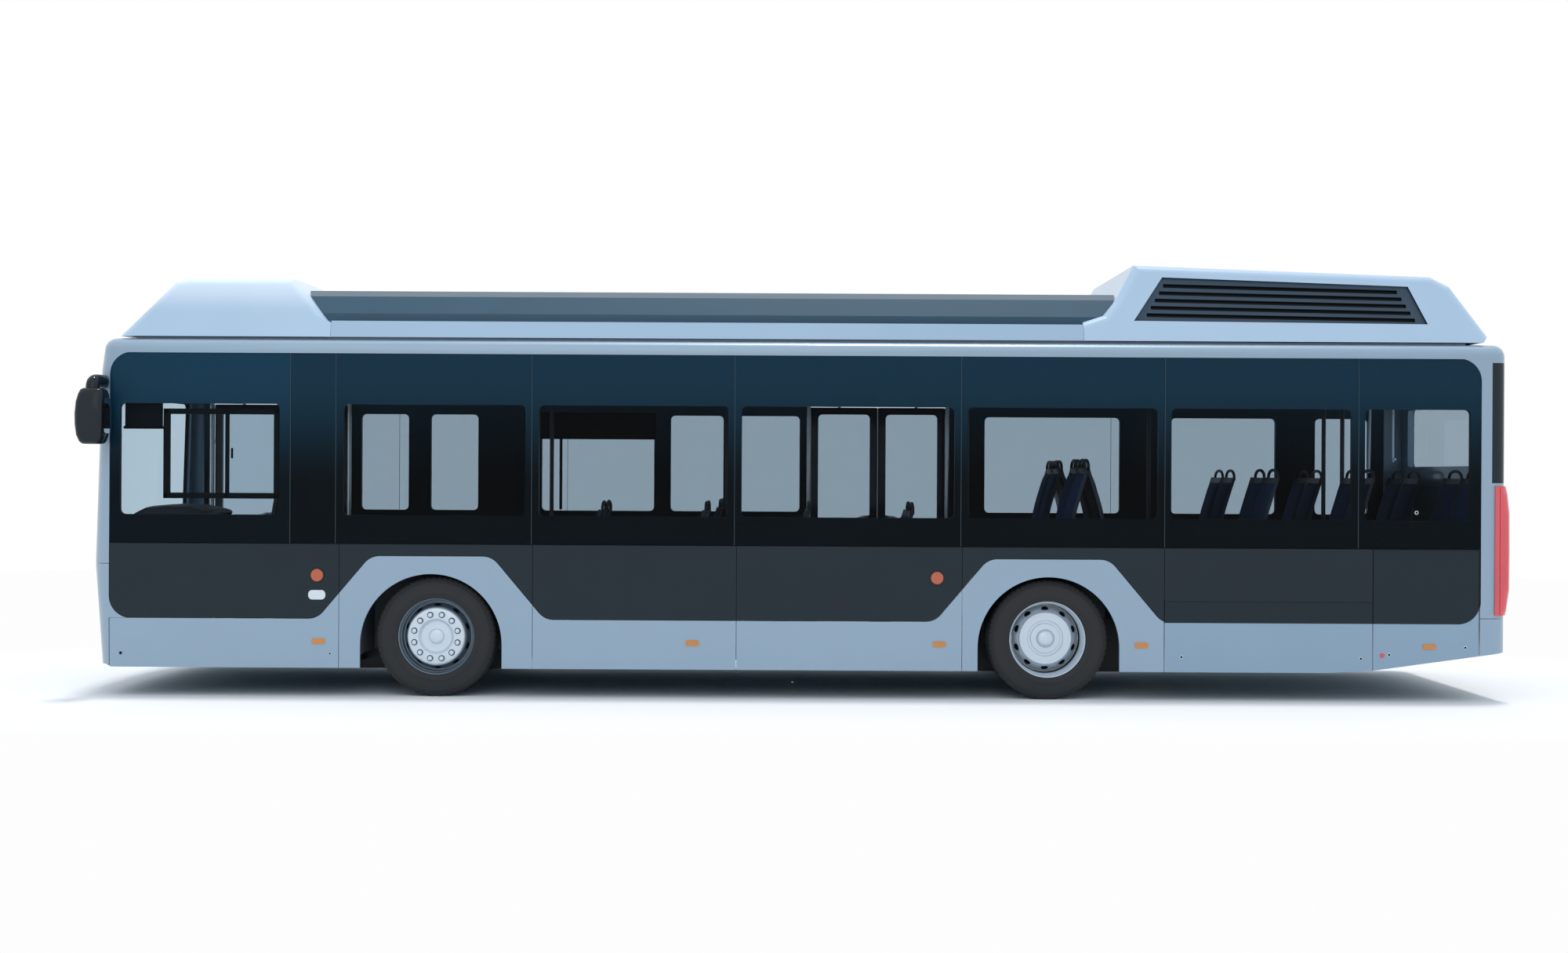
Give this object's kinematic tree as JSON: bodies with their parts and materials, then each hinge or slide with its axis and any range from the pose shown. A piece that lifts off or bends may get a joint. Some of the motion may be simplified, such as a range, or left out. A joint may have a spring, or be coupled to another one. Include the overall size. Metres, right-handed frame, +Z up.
{
  "type": "hydrogen city bus",
  "caption": "Low-floor hydrogen city bus with a dark glass band, light skirts, tank cover and pods on the roof, inward-gliding doors, steered front wheels, twin rear wheels, flaps and a hatch.",
  "frame": {"origin": "on the ground under the middle of the overall box", "axes": "+X to the rear of the bus, +Y to its right side with the doors, +Z up"},
  "size_m": [10.973, 3.04, 3.36],
  "materials": {
    "silver_paint": "silver-blue paint",
    "pale_paint": "pale blue paint",
    "slate_paint": "dark slate cover",
    "black_panel": "black gloss panel",
    "tinted_glass": "tinted glass",
    "clear_glass": "clear lamp glass",
    "red_lamp": "red lamp lens",
    "amber_lamp": "amber lamp lens",
    "tyre_rubber": "tyre rubber",
    "rim_metal": "bright rim",
    "chassis_steel": "dark chassis paint",
    "floor_cover": "grey floor cover",
    "dark_plastic": "dark moulded plastic",
    "seat_fabric": "blue seat fabric",
    "handrail_steel": "brushed handrail",
    "tank_composite": "wound tank shell"
  },
  "bodies": {
    "body": {"underframe": "chassis_steel", "towing_eyes": "chassis_steel", "floor_deck": "floor_cover", "side_frames": "dark_plastic", "roof_panel": "pale_paint", "front_mask": "silver_paint", "windscreen": "tinted_glass", "front_bumper": "silver_paint", "headlamps": "clear_glass", "mirrors": "dark_plastic", "rear_wall": "silver_paint", "rear_window": "tinted_glass", "rear_lamps": "red_lamp", "rear_bumper": "silver_paint", "side_glazing": "tinted_glass", "band_panels": "black_panel", "skirt_panels": "silver_paint", "side_lamps": "amber_lamp", "front_roof_pod": "pale_paint", "tank_cover": "slate_paint", "roof_strips": "pale_paint", "rear_roof_pod": "pale_paint", "tank_pack": "tank_composite", "driver_seat": "seat_fabric", "dashboard": "dark_plastic", "steering_wheel": "dark_plastic", "cab_partition": "dark_plastic", "passenger_seats": "seat_fabric", "grab_poles": "handrail_steel", "door_headers": "dark_plastic", "front_axle": "chassis_steel", "rear_axle": "chassis_steel", "traction_motor": "chassis_steel", "fuel_cell_block": "chassis_steel"},
    "left_steer": {"left_knuckle": "chassis_steel"},
    "left_front_wheel": {"left_front_tyre": "tyre_rubber", "left_front_rim": "rim_metal"},
    "left_rear_wheel": {"left_rear_tyres": "tyre_rubber", "left_rear_rim": "rim_metal"},
    "left_side_flap": {"left_side_flap": "silver_paint"},
    "left_corner_flap": {"left_corner_flap": "silver_paint"},
    "right_steer": {"right_knuckle": "chassis_steel"},
    "right_front_wheel": {"right_front_tyre": "tyre_rubber", "right_front_rim": "rim_metal"},
    "right_rear_wheel": {"right_rear_tyres": "tyre_rubber", "right_rear_rim": "rim_metal"},
    "right_side_flap": {"right_side_flap": "silver_paint"},
    "right_corner_flap": {"right_corner_flap": "silver_paint"},
    "rear_hatch": {"rear_hatch": "silver_paint"},
    "door1_fore_pillar": {"door1_fore_pillar": "handrail_steel"},
    "door1_fore_leaf": {"door1_fore_leaf": "black_panel"},
    "door1_aft_pillar": {"door1_aft_pillar": "handrail_steel"},
    "door1_aft_leaf": {"door1_aft_leaf": "black_panel"},
    "door2_fore_pillar": {"door2_fore_pillar": "handrail_steel"},
    "door2_fore_leaf": {"door2_fore_leaf": "black_panel"},
    "door2_aft_pillar": {"door2_aft_pillar": "handrail_steel"},
    "door2_aft_leaf": {"door2_aft_leaf": "black_panel"}
  },
  "joints": [
    {"name": "left_steering", "type": "hinge", "parent": "body", "child": "left_steer", "pos_m": [-2.745, -0.895, 0.46], "axis": [0, 0, 1], "range_deg": [-45, 45]},
    {"name": "left_front_spin", "type": "hinge", "parent": "left_steer", "child": "left_front_wheel", "pos_m": [-2.745, -1.074, 0.46], "axis": [0, 1, 0], "continuous": true},
    {"name": "left_rear_spin", "type": "hinge", "parent": "body", "child": "left_rear_wheel", "pos_m": [1.953, -1.074, 0.46], "axis": [0, 1, 0], "continuous": true},
    {"name": "left_side_flap_lift", "type": "hinge", "parent": "body", "child": "left_side_flap", "pos_m": [3.636, -1.25, 0.762], "axis": [-1, 0, 0], "range_deg": [0, 100]},
    {"name": "left_corner_flap_lift", "type": "hinge", "parent": "body", "child": "left_corner_flap", "pos_m": [4.841, -1.25, 1.16], "axis": [-1, 0, 0], "range_deg": [0, 100]},
    {"name": "right_steering", "type": "hinge", "parent": "body", "child": "right_steer", "pos_m": [-2.745, 0.895, 0.46], "axis": [0, 0, 1], "range_deg": [-45, 45]},
    {"name": "right_front_spin", "type": "hinge", "parent": "right_steer", "child": "right_front_wheel", "pos_m": [-2.745, 1.074, 0.46], "axis": [0, 1, 0], "continuous": true},
    {"name": "right_rear_spin", "type": "hinge", "parent": "body", "child": "right_rear_wheel", "pos_m": [1.953, 1.074, 0.46], "axis": [0, 1, 0], "continuous": true},
    {"name": "right_side_flap_lift", "type": "hinge", "parent": "body", "child": "right_side_flap", "pos_m": [3.636, 1.25, 0.762], "axis": [1, 0, 0], "range_deg": [0, 100]},
    {"name": "right_corner_flap_lift", "type": "hinge", "parent": "body", "child": "right_corner_flap", "pos_m": [4.841, 1.25, 1.16], "axis": [1, 0, 0], "range_deg": [0, 100]},
    {"name": "rear_hatch_lift", "type": "hinge", "parent": "body", "child": "rear_hatch", "pos_m": [5.465, 0, 1.64], "axis": [0, -1, 0], "range_deg": [0, 95]},
    {"name": "door1_fore_turn", "type": "hinge", "parent": "body", "child": "door1_fore_pillar", "pos_m": [-5.16659, 1.168, 1.3], "axis": [0, 0, -1], "range_deg": [0, 90]},
    {"name": "door1_fore_swing", "type": "hinge", "parent": "door1_fore_pillar", "child": "door1_fore_leaf", "pos_m": [-4.894, 1.232, 1.3], "axis": [0, 0, 1], "range_deg": [0, 180]},
    {"name": "door1_aft_turn", "type": "hinge", "parent": "body", "child": "door1_aft_pillar", "pos_m": [-3.93741, 1.168, 1.3], "axis": [0, 0, 1], "range_deg": [0, 90]},
    {"name": "door1_aft_swing", "type": "hinge", "parent": "door1_aft_pillar", "child": "door1_aft_leaf", "pos_m": [-4.21, 1.232, 1.3], "axis": [0, 0, -1], "range_deg": [0, 180]},
    {"name": "door2_fore_turn", "type": "hinge", "parent": "body", "child": "door2_fore_pillar", "pos_m": [0.14041, 1.168, 1.3], "axis": [0, 0, -1], "range_deg": [0, 90]},
    {"name": "door2_fore_swing", "type": "hinge", "parent": "door2_fore_pillar", "child": "door2_fore_leaf", "pos_m": [0.413, 1.232, 1.3], "axis": [0, 0, 1], "range_deg": [0, 180]},
    {"name": "door2_aft_turn", "type": "hinge", "parent": "body", "child": "door2_aft_pillar", "pos_m": [1.36959, 1.168, 1.3], "axis": [0, 0, 1], "range_deg": [0, 90]},
    {"name": "door2_aft_swing", "type": "hinge", "parent": "door2_aft_pillar", "child": "door2_aft_leaf", "pos_m": [1.097, 1.232, 1.3], "axis": [0, 0, -1], "range_deg": [0, 180]}
  ],
  "couplings": [
    {"joint": "right_steering", "follows": "left_steering", "ratio": 1},
    {"joint": "door1_fore_swing", "follows": "door1_fore_turn", "ratio": 2},
    {"joint": "door1_aft_turn", "follows": "door1_fore_turn", "ratio": 1},
    {"joint": "door1_aft_swing", "follows": "door1_fore_turn", "ratio": 2},
    {"joint": "door2_fore_swing", "follows": "door2_fore_turn", "ratio": 2},
    {"joint": "door2_aft_turn", "follows": "door2_fore_turn", "ratio": 1},
    {"joint": "door2_aft_swing", "follows": "door2_fore_turn", "ratio": 2}
  ]
}
